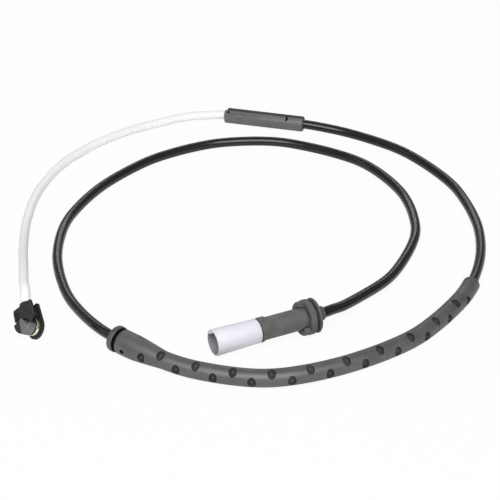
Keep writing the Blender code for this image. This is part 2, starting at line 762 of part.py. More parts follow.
def plug_turn(angle):
    """A direction across the plug: 0 is level on its near side, a quarter turn is up."""
    return Vector((0, -math.cos(angle), math.sin(angle)))


def plug_shell():
    mat = material("plug_shell", (0.80, 0.80, 0.86), 0.35)
    outline = ((0, 0), (0, SHELL_MOUTH_R - SHELL_WALL * 0.4), (SHELL_WALL * 0.4, SHELL_MOUTH_R),
               (SHELL_LONG - SHELL_EDGE, SHELL_REAR_R), (SHELL_LONG, SHELL_REAR_R - SHELL_EDGE),
               (SHELL_LONG, 0))
    shell = add("plug_shell", turned(outline), plug_frame(), mat)
    over = 0.001
    bore = turned(((-over, 0), (-over, SHELL_MOUTH_R - SHELL_WALL),
                   (SHELL_LONG + over, SHELL_REAR_R - SHELL_WALL), (SHELL_LONG + over, 0)))
    key = plug_turn(KEY_TURN)
    combine(shell, add("plug_bore", trimmed(bore, key * KEY_OFF, key), plug_frame()), 'DIFFERENCE')
    return shell


def plug_housing():
    mat = material("plug_housing", (0.085, 0.085, 0.08), 0.45)
    lip = SHELL_LONG + GAP
    edge = GAP / 2
    spigot = KEY_OFF - GAP
    outline = ((lip - SPIGOT_LONG, BODY_BORE_R), (lip - SPIGOT_LONG, spigot), (lip, spigot),
               (lip, LIP_R - edge), (lip + edge, LIP_R), (lip + LIP_LONG, LIP_R),
               (lip + LIP_LONG + edge, BODY_R), (BODY_END, BODY_R), (BODY_END, BODY_BORE_R))
    body = add("plug_housing", turned(outline), plug_frame(), mat)
    step = box((lip + edge, -STEP_HALF, BODY_R - STEP_HIGH * 2),
               (lip + edge + STEP_LONG, STEP_HALF, BODY_R + STEP_HIGH), edge)
    combine(body, add("plug_step", step, plug_frame()), 'UNION')
    return body


def grommet_sector(start, radius, middle, half):
    """A piece of ring that reaches from the front disc over the housing."""
    low = BODY_R + GAP
    front = BODY_END + GAP
    edge = (radius - low) * 0.3
    bm = turned(((start, low), (start, radius - edge), (start + edge, radius),
                 (front + DISC_LONG / 2, radius), (front + DISC_LONG / 2, low)))
    trimmed(bm, Vector(), plug_turn(middle - half - math.pi / 2))
    return trimmed(bm, Vector(), plug_turn(middle + half + math.pi / 2))


def plug_grommet():
    mat = material("plug_grommet", (0.115, 0.11, 0.105), 0.7)
    front = BODY_END + GAP
    groove = front + DISC_LONG
    rear = groove + NECK_GROOVE_LONG
    cone = rear + REAR_DISC_LONG
    bore = CABLE_R + GAP
    end = plug_long()
    edge = GAP
    outline = ((front, bore), (front, DISC_R - edge), (front + edge, DISC_R), (groove - edge, DISC_R),
               (groove, DISC_R - edge), (groove, NECK_GROOVE_R), (rear, NECK_GROOVE_R),
               (rear, DISC_R - edge), (rear + edge, DISC_R), (cone - edge, DISC_R),
               (cone, DISC_R - edge), (cone + CONE_LONG, CONE_R), (end, TAIL_R), (end, bore))
    body = add("plug_grommet", turned(outline), plug_frame(), mat)
    hump = grommet_sector(front - HUMP_LONG, HUMP_R, HUMP_MIDDLE, HUMP_HALF)
    combine(body, add("grommet_hump", hump, plug_frame()), 'UNION')
    under = grommet_sector(front - LIP_UNDER_LONG, LIP_UNDER_R, LIP_UNDER_MIDDLE, LIP_UNDER_HALF)
    combine(body, add("grommet_under_lip", under, plug_frame()), 'UNION')
    return body


def contact_carrier():
    mat = material("contact_carrier", (0.20, 0.20, 0.21), 0.55)
    end = SHELL_LONG + GAP - SPIGOT_LONG - GAP
    body = post((CARRIER_FROM, 0, 0), (end, 0, 0), KEY_OFF - GAP)
    carrier = add("contact_carrier", body, plug_frame(), mat)
    for number, side in enumerate((-PIN_SIDE, PIN_SIDE), 1):
        hole = post((CARRIER_FROM - GAP, side, 0), (end + GAP, side, 0), PIN_R + GAP, 16)
        combine(carrier, add("carrier_hole_%d" % number, hole, plug_frame()), 'DIFFERENCE')
    return carrier


def plug_contacts():
    """The two pins and the wire ends behind them."""
    inside = plug_long() - CABLE_IN
    for number, side in enumerate((-PIN_SIDE, PIN_SIDE), 1):
        pin = turned(((PIN_FROM, 0), (PIN_FROM, PIN_R / 2), (PIN_FROM + PIN_R, PIN_R), (PIN_TO, PIN_R),
                      (PIN_TO, 0)), 16)
        pin.transform(Matrix.Translation((0, side, 0)))
        name = "contact_pin_%d" % number
        add(name, pin, plug_frame(), material(name, (0.78, 0.75, 0.68), 0.25, 1.0))
        name = "plug_core_%d" % number
        wire = post((PIN_TO + GAP, side, 0), (inside - GAP, side, 0), CORE_R, 12)
        add(name, wire, plug_frame(), material(name, (0.70, 0.40, 0.22), 0.35, 1.0))


def main():
    for obj in list(bpy.data.objects):
        bpy.data.objects.remove(obj)
    head_housing()
    spring_ring()
    wear_tip()
    contact_loop()
    heat_hose()
    splice_shell_front()
    splice_shell_rear()
    splice_wires()
    lead_cable()
    rubber_sleeve()
    plug_shell()
    plug_housing()
    plug_grommet()
    contact_carrier()
    plug_contacts()


main()
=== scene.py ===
"""The looks of a brake pad wear sensor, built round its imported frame."""
import math

import bmesh
import bpy
from mathutils import Matrix, Vector


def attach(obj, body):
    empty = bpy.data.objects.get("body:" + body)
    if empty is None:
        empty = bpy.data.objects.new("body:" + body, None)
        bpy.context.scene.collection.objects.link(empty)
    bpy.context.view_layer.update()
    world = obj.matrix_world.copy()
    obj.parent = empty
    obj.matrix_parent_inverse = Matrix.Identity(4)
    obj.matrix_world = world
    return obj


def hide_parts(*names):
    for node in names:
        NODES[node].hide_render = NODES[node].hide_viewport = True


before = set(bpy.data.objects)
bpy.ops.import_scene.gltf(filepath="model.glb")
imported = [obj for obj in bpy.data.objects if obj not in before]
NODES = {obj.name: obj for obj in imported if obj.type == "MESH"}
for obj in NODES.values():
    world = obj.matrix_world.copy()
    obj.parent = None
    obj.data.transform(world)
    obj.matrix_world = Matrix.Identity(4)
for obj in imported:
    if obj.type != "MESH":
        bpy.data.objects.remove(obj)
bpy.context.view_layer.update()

# Camera, at the photograph's angle.
LOOK_AT = Vector((0.09133, 0.06424, 0.0))
CAMERA_RISE = math.radians(33)
CAMERA_FAR = 0.780
CAMERA_LENS = 125.9

# The gap between neighbouring pieces, and the angle past which an edge is drawn sharp.
GAP = 0.0003
CRISP = math.radians(32)

# Points nearer than this are merged, in the scene's own solids and in a frame node's copy.
MERGE = 1e-7
NODE_MERGE = 1e-6

# A rounded edge is drawn by three points, and the middle one is this share of the edge from the corner.
BEND = 0.3

# The hose and the cable.
HOSE_R = 0.0021
CABLE_R = 0.00225
CORD_STEP = 0.0105
CORD_LEAD = 0.0010

# How many short steps each step of a route is drawn with.
FINE = 6

# Hose and cable routes, repeated from the part.
HOSE_ROUTE = (
    (-0.0025, 0.0128, 0.0135),
    (-0.0039, 0.0200, 0.0128),
    (-0.0051, 0.0291, 0.0112),
    (-0.0066, 0.0409, 0.0087),
    (-0.0082, 0.0524, 0.0062),
    (-0.0098, 0.0706, 0.0034),
    (-0.0103, 0.0820, 0.0025),
    (-0.0094, 0.1002, 0.0022),
    (-0.0076, 0.1116, 0.0022),
    (-0.0022, 0.1288, 0.0022),
    (0.0031, 0.1396, 0.0022),
    (0.0145, 0.1546, 0.0022),
    (0.0226, 0.1624, 0.0022),
    (0.0325, 0.1698, 0.0023),
    (0.0483, 0.1776, 0.0028),
    (0.0596, 0.1818, 0.0033),
)
CABLE_ROUTE = (
    (0.1380, 0.1676, 0.0025),
    (0.1586, 0.1548, 0.0023),
    (0.1715, 0.1417, 0.0023),
    (0.1843, 0.1218, 0.0023),
    (0.1906, 0.1044, 0.0023),
    (0.1945, 0.0810, 0.0023),
    (0.1932, 0.0572, 0.0028),
    (0.1875, 0.0347, 0.0038),
    (0.1793, 0.0179, 0.0039),
    (0.1648, -0.0016, 0.0039),
    (0.1511, -0.0138, 0.0039),
    (0.1302, -0.0260, 0.0039),
    (0.1080, -0.0338, 0.0039),
    (0.0899, -0.0346, 0.0038),
    (0.0671, -0.0293, 0.0043),
    (0.0503, -0.0207, 0.0054),
    (0.0315, -0.0057, 0.0055),
    (0.0187, 0.0142, 0.0032),
    (0.0114, 0.0314, 0.0024),
    (0.0064, 0.0546, 0.0023),
    (0.0068, 0.0781, 0.0023),
    (0.0115, 0.0955, 0.0023),
    (0.0219, 0.1159, 0.0023),
    (0.0377, 0.1349, 0.0023),
    (0.0521, 0.1463, 0.0023),
    (0.0739, 0.1564, 0.0023),
    (0.0980, 0.1588, 0.0023),
    (0.1158, 0.1547, 0.0023),
    (0.1371, 0.1439, 0.0023),
    (0.1506, 0.1312, 0.0023),
    (0.1622, 0.1096, 0.0023),
    (0.1662, 0.0865, 0.0023),
    (0.1644, 0.0681, 0.0023),
    (0.1554, 0.0451, 0.0024),
    (0.1461, 0.0302, 0.0036),
    (0.1304, 0.0115, 0.0065),
)

# Sensing head, as far as the hose needs it.
HEAD_AXIS = Vector((-0.722, -0.444, 0.531)).normalized()
HEAD_BACK = Vector((-0.231, 0.877, 0.421))
HEAD_AT = Vector((0.00296, -0.00181, 0.00459))
COLLAR_X = 0.0002
COLLAR_Z = 0.0030
COLLAR_END = 0.0107
BLOCK_BACK = 0.0095

# Splice.
SPLICE_AT = Vector((0.07909, 0.18273, 0.0038))
SPLICE_YAW = math.radians(-13.68)
SPLICE_R = 0.0038
SPLICE_LONG = 0.040
SPLICE_IN = 0.010
SPLICE_EDGE = 0.0006
SPLICE_SPLIT = math.radians(75)
REAR_START = 0.0010

# The two latch windows: start and length along the splice, then from where to where below the seam.
LATCHES = (
    (0.0016, 0.0010, 0.0008, 0.0019),
    (0.0313, 0.0011, -0.0003, 0.0025),
)

# Plug.
PLUG_MOUTH = Vector((0.07645, -0.01802, 0.00866))
PLUG_TAIL = Vector((0.12150, 0.00473, 0.00758))
SHELL_LONG = 0.0202
SHELL_MOUTH_R = 0.0056
SHELL_REAR_R = 0.0051
SHELL_WALL = 0.0007
SHELL_EDGE = 0.0004
SHELL_ROUND = 0.35
SHELL_OVER = 0.001
KEY_OFF = 0.0039
KEY_TURN = math.radians(127)
LIP_R = 0.00512
LIP_LONG = 0.0010
STEP_LONG = 0.0034
STEP_HALF = 0.0018
STEP_HIGH = 0.0003
STEP_TURN = math.radians(-20)
BODY_R = 0.004675
BODY_END = 0.0415
BODY_BORE_R = 0.0029
SPIGOT_LONG = 0.0025
CABLE_IN = 0.0100
CABLE_TURN = Vector((0.0042, 0.0027, -0.0001))
DISC_R = 0.0075
DISC_LONG = 0.0026
NECK_GROOVE_R = 0.0046
NECK_GROOVE_LONG = 0.0014
REAR_DISC_LONG = 0.0010
CONE_LONG = 0.0016
CONE_R = 0.0033
TAIL_R = 0.0029
HUMP_LONG = 0.0023
HUMP_R = 0.0072
HUMP_MIDDLE = math.radians(140)
HUMP_HALF = math.radians(35)
LIP_UNDER_LONG = 0.0024
LIP_UNDER_R = 0.0073
LIP_UNDER_MIDDLE = math.radians(-60)
LIP_UNDER_HALF = math.radians(38)
SECTOR_EDGE = 0.3

# Rubber sleeve, measured along the cable's free run. Its pockets are measured from its plain end, and
# its hole from its flanged end.
SLEEVE_FROM = 0.180
SLEEVE_TO = 0.3640
SLEEVE_R = 0.00375
SLEEVE_EDGE = 0.0004
FLANGE_END_R = 0.0056
FLANGE_END_LONG = 0.0023
GROOVE_R = 0.0045
GROOVE_LONG = 0.0015
BARREL_R = 0.0053
BARREL_LONG = 0.0105
TAPER_LONG = 0.0245
TAPER_EASE = 1.2
SLEEVE_STEPS = 120
SLEEVE_SIDES = 64
POCKET_PITCH = 0.0154
POCKET_FIRST = 0.0126
POCKET_ROW = math.radians(62)
POCKET_TURN = math.radians(60)
POCKET_BOW = 0.0017
POCKET_DEEP = 0.0012
POCKET_LONG = 0.0032
POCKET_ROUND = 0.0048
POCKET_FLARE = 0.12
CUTTER_HIGH = 0.0020
PIP_R = 0.00055
PIP_TOP = 0.6
PIP_HIGH = 0.0007
HOLE_R = 0.0010
HOLE_AT = 0.0079
HOLE_TURN = math.radians(-4)
HOLE_DEEP = 0.0024
HOLE_REACH = 1.2

# What the voxel skin of a softened piece is made with: its voxel's size and its smoothing passes.
SKINS = {
    "head_moulding": (0.000115, 3),
    "grey_tip": (0.00009, 5),
    "brass_ring": (0.00006, 8),
    "plug_rubber": (0.000125, 4),
}

# Each finish: dark and light colour, roughness, grain per metre, bump, metallic and specular.
FINISHES = {
    "hose_white": ((0.90, 0.88, 0.89), (0.95, 0.93, 0.94), 0.38, 300, 0.0, 0.0, 0.3),
    "cable_black": ((0.005, 0.0048, 0.0045), (0.008, 0.0075, 0.007), 0.22, 400, 0.0, 0.0, 0.6),
    "splice_grey": ((0.12, 0.115, 0.12), (0.16, 0.155, 0.16), 0.42, 1800, 0.15, 0.0, 0.4),
    "splice_dark": ((0.04, 0.038, 0.04), (0.06, 0.058, 0.06), 0.5, 1800, 0.15, 0.0, 0.25),
    # Painted shade: the latch windows' cut walls drawn near-black.
    "splice_window_painted_shade": ((0.004, 0.004, 0.004), (0.008, 0.008, 0.008), 0.8, 1800, 0.1, 0.0, 0.05),
    "sleeve_rubber": ((0.055, 0.053, 0.056), (0.085, 0.082, 0.086), 0.48, 1200, 0.2, 0.0, 1.0),
    # Painted shade: the sleeve's pockets and side hole drawn in a darker rubber than the sleeve.
    "sleeve_pocket_painted_shade": ((0.026, 0.025, 0.026), (0.055, 0.053, 0.055), 0.7, 1200, 0.25, 0.0, 0.2),
    # Painted shade: the groove beside the flange and the side hole drawn near-black.
    "sleeve_hollow_painted_shade": ((0.004, 0.004, 0.004), (0.008, 0.008, 0.008), 0.8, 1200, 0.1, 0.0, 0.05),
    "plug_white": ((0.71, 0.71, 0.77), (0.76, 0.76, 0.82), 0.35, 1200, 0.05, 0.0, 0.3),
    "plug_bore_painted_shade": ((0.24, 0.24, 0.26), (0.30, 0.30, 0.32), 0.5, 1200, 0.05, 0.0, 0.2),
    "plug_black": ((0.095, 0.095, 0.09), (0.135, 0.135, 0.128), 0.36, 1500, 0.1, 0.0, 0.3),
    "grommet_rubber": ((0.095, 0.09, 0.086), (0.135, 0.13, 0.124), 0.6, 1400, 0.25, 0.0, 0.25),
    "head_black": ((0.018, 0.0175, 0.018), (0.030, 0.029, 0.030), 0.42, 1800, 0.15, 0.0, 0.35),
    "tip_grey": ((0.13, 0.126, 0.133), (0.18, 0.173, 0.18), 0.42, 1500, 0.15, 0.0, 0.3),
    "ring_brass": ((0.90, 0.86, 0.60), (0.98, 0.95, 0.76), 0.2, 2500, 0.05, 1.0, 0.5),
    "loop_enamel": ((0.05, 0.03, 0.02), (0.08, 0.045, 0.03), 0.4, 2500, 0.05, 0.0, 0.5),
    "carrier_grey": ((0.17, 0.17, 0.18), (0.23, 0.23, 0.24), 0.5, 1500, 0.1, 0.0, 0.5),
    "crimp_tin": ((0.65, 0.64, 0.62), (0.82, 0.81, 0.79), 0.3, 2500, 0.1, 1.0, 0.5),
    "wire_steel": ((0.70, 0.68, 0.64), (0.85, 0.83, 0.78), 0.35, 2500, 0.1, 1.0, 0.5),
    "wire_copper": ((0.6, 0.33, 0.18), (0.78, 0.46, 0.26), 0.35, 2500, 0.1, 1.0, 0.5),
    "pin_tin": ((0.7, 0.67, 0.58), (0.85, 0.82, 0.75), 0.25, 2500, 0.1, 1.0, 0.5),
}

# The small pieces that stay as the frame has them, and the finish of each.
KEPT_NODES = (
    ("contact_loop", "loop_enamel"),
    ("contact_carrier", "carrier_grey"),
    ("splice_crimp_1", "crimp_tin"),
    ("splice_crimp_2", "crimp_tin"),
    ("hose_core_1", "wire_steel"),
    ("hose_core_2", "wire_steel"),
    ("cable_core_1", "wire_copper"),
    ("cable_core_2", "wire_copper"),
    ("plug_core_1", "wire_copper"),
    ("plug_core_2", "wire_copper"),
    ("contact_pin_1", "pin_tin"),
    ("contact_pin_2", "pin_tin"),
)

# Lights and floor. Each lamp: place, width, height and watts.
SKY_STRENGTH = 0.26
SKY_TINT = (0.97, 0.98, 1.0, 1)
LAMP_TARGET = (0.09, 0.06, 0)
LAMPS = {
    "front_softbox": ((0.05, -0.75, 0.95), 1.2, 0.95, 16.5),
    "back_strip": ((0.09, 1.0, 0.60), 0.9, 0.08, 1.2),
    "left_strip": ((-0.8, 0.1, 0.6), 0.10, 0.6, 0.4),
}
FLOOR_HALF = 3.0
FLOOR_WHITE = (0.86, 0.86, 0.86, 1)
FLOOR_GLOW = 0.93


def smooth(points, step):
    """Points on a smooth curve through the given ones, about one step apart."""
    ends = [points[0] * 2 - points[1]] + list(points) + [points[-1] * 2 - points[-2]]
    made = []
    for a, b, c, d in zip(ends, ends[1:], ends[2:], ends[3:]):
        count = max(1, round((c - b).length / step))
        for i in range(count):
            t = i / count
            made.append(0.5 * (2 * b + (c - a) * t + (2 * a - 5 * b + 4 * c - d) * t ** 2
                               + (3 * b - a - 3 * c + d) * t ** 3))
    return made + [points[-1]]


def along(line, distance):
    """The point and the heading at a distance along a line of points."""
    for a, b in zip(line, line[1:]):
        size = (b - a).length
        if distance <= size or b is line[-1]:
            return a + (b - a) * (distance / size), (b - a) / size
        distance -= size


def placing(origin, x, y, z):
    return Matrix.Translation(origin) @ Matrix((x, y, z)).transposed().to_4x4()


def head_place():
    back = (HEAD_BACK - HEAD_BACK.dot(HEAD_AXIS) * HEAD_AXIS).normalized()
    return placing(HEAD_AT, back.cross(HEAD_AXIS), back, HEAD_AXIS)


def splice_place():
    return Matrix.Translation(SPLICE_AT) @ Matrix.Rotation(SPLICE_YAW, 4, 'Z')


def plug_place():
    x = (PLUG_TAIL - PLUG_MOUTH).normalized()
    y = Vector((0, 0, 1)).cross(x).normalized()
    return placing(PLUG_MOUTH, x, y, x.cross(y))


def hose_line():
    head, splice = head_place(), splice_place()
    seat = BLOCK_BACK + GAP
    start = [head @ Vector((COLLAR_X, y, COLLAR_Z)) for y in (seat, COLLAR_END + CORD_LEAD)]
    end = [splice @ Vector((x, 0, 0)) for x in (-CORD_LEAD, SPLICE_IN)]
    return smooth(smooth(start + [Vector(p) for p in HOSE_ROUTE] + end, CORD_STEP), CORD_STEP / FINE)


def cable_line():
    splice, plug = splice_place(), plug_place()
    start = [splice @ Vector((x, 0, 0)) for x in (SPLICE_LONG - SPLICE_IN, SPLICE_LONG + CORD_LEAD)]
    long = (PLUG_TAIL - PLUG_MOUTH).length
    end = [PLUG_TAIL + CABLE_TURN, PLUG_TAIL, plug @ Vector((long - CABLE_IN, 0, 0))]
    return smooth(smooth(start + [Vector(p) for p in CABLE_ROUTE] + end, CORD_STEP), CORD_STEP / FINE)


def finish_mesh(name, bm, place, mat):
    """A closed mesh becomes a piece, with its place in its mesh."""
    bm.transform(place)
    bmesh.ops.remove_doubles(bm, verts=bm.verts, dist=MERGE)
    bmesh.ops.recalc_face_normals(bm, faces=bm.faces)
    if bm.calc_volume(signed=True) < 0:
        bmesh.ops.reverse_faces(bm, faces=bm.faces)
    mesh = bpy.data.meshes.new(name)
    bm.to_mesh(mesh)
    bm.free()
    mesh.shade_smooth()
    mesh.set_sharp_from_angle(angle=CRISP)
    obj = bpy.data.objects.new(name, mesh)
    bpy.context.scene.collection.objects.link(obj)
    if mat:
        mesh.materials.append(mat)
    return obj


def turned(profile, steps=96):
    """A closed outline of (along, radius) points turned round the X axis."""
    bm = bmesh.new()
    verts = [bm.verts.new((along_x, radius, 0)) for along_x, radius in profile]
    edges = [bm.edges.new(pair) for pair in zip(verts, verts[1:])]
    if profile[0][1] > 0:
        edges.append(bm.edges.new((verts[-1], verts[0])))
    bmesh.ops.spin(bm, geom=verts + edges, cent=(0, 0, 0), axis=(1, 0, 0), angle=math.tau,
                   steps=steps, use_merge=True)
    bmesh.ops.remove_doubles(bm, verts=bm.verts, dist=MERGE)
    return bm


def cord_piece(name, line, radius, mat):
    data = bpy.data.curves.new(name, 'CURVE')
    data.dimensions = '3D'
    data.bevel_depth = radius
    data.bevel_resolution = 6
    data.use_fill_caps = True
    spline = data.splines.new('POLY')
    spline.points.add(len(line) - 1)
    for point, at in zip(spline.points, line):
        point.co = (*at, 1.0)
    spline.use_smooth = True
    data.materials.append(mat)
    obj = bpy.data.objects.new(name, data)
    bpy.context.scene.collection.objects.link(obj)
    return obj


def baked(obj):
    """Applies an object's modifiers and gives a bmesh of the result."""
    graph = bpy.context.evaluated_depsgraph_get()
    mesh = bpy.data.meshes.new_from_object(obj.evaluated_get(graph))
    bm = bmesh.new()
    bm.from_mesh(mesh)
    bpy.data.meshes.remove(mesh)
    bpy.data.objects.remove(obj)
    return bm


def carve(obj, other, operation):
    step = obj.modifiers.new(other.name, 'BOOLEAN')
    step.operation = operation
    step.solver = 'EXACT'
    step.object = other


def carved(name, bm, changes, place, mat, cut_shade=None):
    """A solid with others cut from it or joined to it, with painted shade (a darker finish) on the faces
    where a cut is.
    """
    for face in bm.faces:
        face.material_index = 0
    blank = finish_mesh(name + "_blank", bm, Matrix(), mat)
    if cut_shade:
        blank.data.materials.append(cut_shade)
    tools = []
    for number, (tool, operation) in enumerate(changes):
        # The cut faces take the painted shade finish, darker than the solid.
        finish = cut_shade if cut_shade and operation == 'DIFFERENCE' else mat
        tools.append(finish_mesh("%s_tool_%d" % (name, number), tool, Matrix(), finish))
        carve(blank, tools[-1], operation)
    bm = baked(blank)
    for tool in tools:
        bpy.data.objects.remove(tool)
    piece = finish_mesh(name, bm, place, mat)
    if cut_shade:
        piece.data.materials.append(cut_shade)
    return piece


def drop_specks(bm):
    """Keeps a mesh's largest shell, because a voxel skin can leave specks beside it."""
    shells = []
    seen = set()
    for first in bm.verts:
        if first in seen:
            continue
        seen.add(first)
        shell = [first]
        for vert in shell:
            for edge in vert.link_edges:
                other = edge.other_vert(vert)
                if other not in seen:
                    seen.add(other)
                    shell.append(other)
        shells.append(shell)
    largest = max(shells, key=len)
    stray = [vert for shell in shells if shell is not largest for vert in shell]
    bmesh.ops.delete(bm, geom=stray, context='VERTS')
    return bm


def moulded(name, obj, mat):
    """The piece with every edge softened, as it leaves its mould."""
    voxel, passes = SKINS[name]
    skin = obj.modifiers.new("skin", 'REMESH')
    skin.mode = 'VOXEL'
    skin.voxel_size = voxel
    ease = obj.modifiers.new("ease", 'SMOOTH')
    ease.factor = 0.5
    ease.iterations = passes
    piece = finish_mesh(name, drop_specks(baked(obj)), Matrix(), mat)
    piece.data.shade_smooth()
    return piece


def node_copy(node):
    """A merged copy of a frame node's mesh, placed as the node is."""
    bm = bmesh.new()
    bm.from_mesh(NODES[node].data)
    bmesh.ops.remove_doubles(bm, verts=bm.verts, dist=NODE_MERGE)
    return finish_mesh(node + "_copy", bm, Matrix(), None)


def stands_for(piece, node):
    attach(piece, "root")
    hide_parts(node)
    return piece


def trimmed(bm, point, normal):
    """Cuts away the side of a solid that a plane's normal points to, and closes the cut."""
    bmesh.ops.recalc_face_normals(bm, faces=bm.faces)
    cut = bmesh.ops.bisect_plane(bm, geom=bm.verts[:] + bm.edges[:] + bm.faces[:], dist=MERGE,
                                 plane_co=point, plane_no=normal, clear_outer=True)
    edges = [e for e in cut["geom_cut"] if isinstance(e, bmesh.types.BMEdge)]
    bmesh.ops.holes_fill(bm, edges=edges)
    return bm


def block(low, high, edge=0.0):
    """A block between two corners, with its edges rounded."""
    bm = bmesh.new()
    low = Vector(low)
    size = Vector(high) - low
    place = Matrix.Translation(low + size / 2) @ Matrix.Diagonal((*size, 1))
    bmesh.ops.create_cube(bm, size=1.0, matrix=place)
    if edge:
        bmesh.ops.bevel(bm, geom=bm.edges[:], offset=edge, offset_type='OFFSET', segments=3,
                        profile=0.5, affect='EDGES', material=-1)
    return bm


def grained(name, kind=None):
    """A moulded or cast finish: a fine grain in colour, gloss and surface."""
    dark, light, rough, grain, bump, metallic, specular = FINISHES[kind or name]
    mat = bpy.data.materials.new(name)
    mat.use_nodes = True
    nodes, links = mat.node_tree.nodes, mat.node_tree.links
    shader = nodes["Principled BSDF"]
    where = nodes.new("ShaderNodeTexCoord")
    cloud = nodes.new("ShaderNodeTexNoise")
    cloud.inputs["Scale"].default_value = grain / 8
    cloud.inputs["Detail"].default_value = 4
    speck = nodes.new("ShaderNodeTexNoise")
    speck.inputs["Scale"].default_value = grain
    speck.inputs["Detail"].default_value = 3
    colour = nodes.new("ShaderNodeValToRGB")
    colour.color_ramp.elements[0].position = 0.3
    colour.color_ramp.elements[0].color = (*dark, 1)
    colour.color_ramp.elements[1].position = 0.7
    colour.color_ramp.elements[1].color = (*light, 1)
    gloss = nodes.new("ShaderNodeMapRange")
    gloss.inputs["To Min"].default_value = rough - 0.06
    gloss.inputs["To Max"].default_value = rough + 0.08
    relief = nodes.new("ShaderNodeBump")
    relief.inputs["Strength"].default_value = bump
    relief.inputs["Distance"].default_value = 0.0001
    links.new(where.outputs["Object"], cloud.inputs["Vector"])
    links.new(where.outputs["Object"], speck.inputs["Vector"])
    links.new(cloud.outputs["Fac"], colour.inputs["Fac"])
    links.new(colour.outputs["Color"], shader.inputs["Base Color"])
    links.new(speck.outputs["Fac"], gloss.inputs["Value"])
    links.new(gloss.outputs["Result"], shader.inputs["Roughness"])
    links.new(speck.outputs["Fac"], relief.inputs["Height"])
    links.new(relief.outputs["Normal"], shader.inputs["Normal"])
    shader.inputs["Metallic"].default_value = metallic
    shader.inputs["Specular IOR Level"].default_value = specular
    return mat


def dress(node, mat):
    for number in range(len(NODES[node].material_slots)):
        NODES[node].material_slots[number].material = mat


def set_camera():
    data = bpy.data.cameras.new("camera")
    data.lens = CAMERA_LENS
    data.sensor_width = 36
    data.clip_start = 0.01
    camera = bpy.data.objects.new("camera", data)
    back = Vector((0, -math.cos(CAMERA_RISE), math.sin(CAMERA_RISE)))
    camera.location = LOOK_AT + back * CAMERA_FAR
    camera.rotation_euler = (math.pi / 2 - CAMERA_RISE, 0, 0)
    bpy.context.scene.collection.objects.link(camera)
    bpy.context.scene.camera = camera


def lamp(name, place, wide, high, watts):
    data = bpy.data.lights.new(name, 'AREA')
    data.shape = 'RECTANGLE'
    data.size = wide
    data.size_y = high
    data.energy = watts
    obj = bpy.data.objects.new(name, data)
    obj.location = place
    obj.rotation_euler = (Vector(LAMP_TARGET) - Vector(place)).to_track_quat('-Z', 'Y').to_euler()
    bpy.context.scene.collection.objects.link(obj)


def set_light():
    world = bpy.data.worlds.new("studio")
    bpy.context.scene.world = world
    world.use_nodes = True
    nodes, links = world.node_tree.nodes, world.node_tree.links
    nodes.clear()
    out = nodes.new("ShaderNodeOutputWorld")
    seen = nodes.new("ShaderNodeBackground")
    seen.inputs["Color"].default_value = (1, 1, 1, 1)
    seen.inputs["Strength"].default_value = 1.0
    soft = nodes.new("ShaderNodeBackground")
    soft.inputs["Color"].default_value = SKY_TINT
    soft.inputs["Strength"].default_value = SKY_STRENGTH
    mix = nodes.new("ShaderNodeMixShader")
    path = nodes.new("ShaderNodeLightPath")
    links.new(path.outputs["Is Camera Ray"], mix.inputs[0])
    links.new(soft.outputs[0], mix.inputs[1])
    links.new(seen.outputs[0], mix.inputs[2])
    links.new(mix.outputs[0], out.inputs["Surface"])
    for name, sizes in LAMPS.items():
        lamp(name, *sizes)


def floor():
    """A white floor that keeps a light shadow of the object."""
    bm = bmesh.new()
    bmesh.ops.create_grid(bm, x_segments=1, y_segments=1, size=FLOOR_HALF)
    mat = bpy.data.materials.new("floor_white")
    mat.use_nodes = True
    nodes, links = mat.node_tree.nodes, mat.node_tree.links
    out = nodes["Material Output"]
    shader = nodes["Principled BSDF"]
    shader.inputs["Base Color"].default_value = FLOOR_WHITE
    shader.inputs["Roughness"].default_value = 0.9
    shader.inputs["Specular IOR Level"].default_value = 0.0
    glow = nodes.new("ShaderNodeEmission")
    glow.inputs["Strength"].default_value = 1.0
    white = nodes.new("ShaderNodeMixShader")
    white.inputs[0].default_value = FLOOR_GLOW
    mix = nodes.new("ShaderNodeMixShader")
    links.new(shader.outputs[0], white.inputs[1])
    links.new(glow.outputs[0], white.inputs[2])
    path = nodes.new("ShaderNodeLightPath")
    links.new(path.outputs["Is Camera Ray"], mix.inputs[0])
    links.new(shader.outputs[0], mix.inputs[1])
    links.new(white.outputs[0], mix.inputs[2])
    links.new(mix.outputs[0], out.inputs["Surface"])
    mesh = bpy.data.meshes.new("floor")
    bm.to_mesh(mesh)
    bm.free()
    mesh.materials.append(mat)
    obj = bpy.data.objects.new("floor", mesh)
    bpy.context.scene.collection.objects.link(obj)


def make_cords():
    """The white hose and the black cable, with the pieces that they carry."""
    line = hose_line()
    hose = stands_for(cord_piece("hose", line, HOSE_R, grained("hose_white")), "heat_hose")
    shells = [splice_shell("splice_front", True), splice_shell("splice_rear", False)]
    line = cable_line()
    cable = stands_for(cord_piece("cable", line, CABLE_R, grained("cable_black")), "lead_cable")
    pieces = [make_sleeve(line), plug_collar(), plug_body(), plug_rubber()]


def splice_normal():
    """The direction across the shells' parting plane, towards the front shell."""
    return Vector((0, -math.sin(SPLICE_SPLIT), -math.cos(SPLICE_SPLIT)))


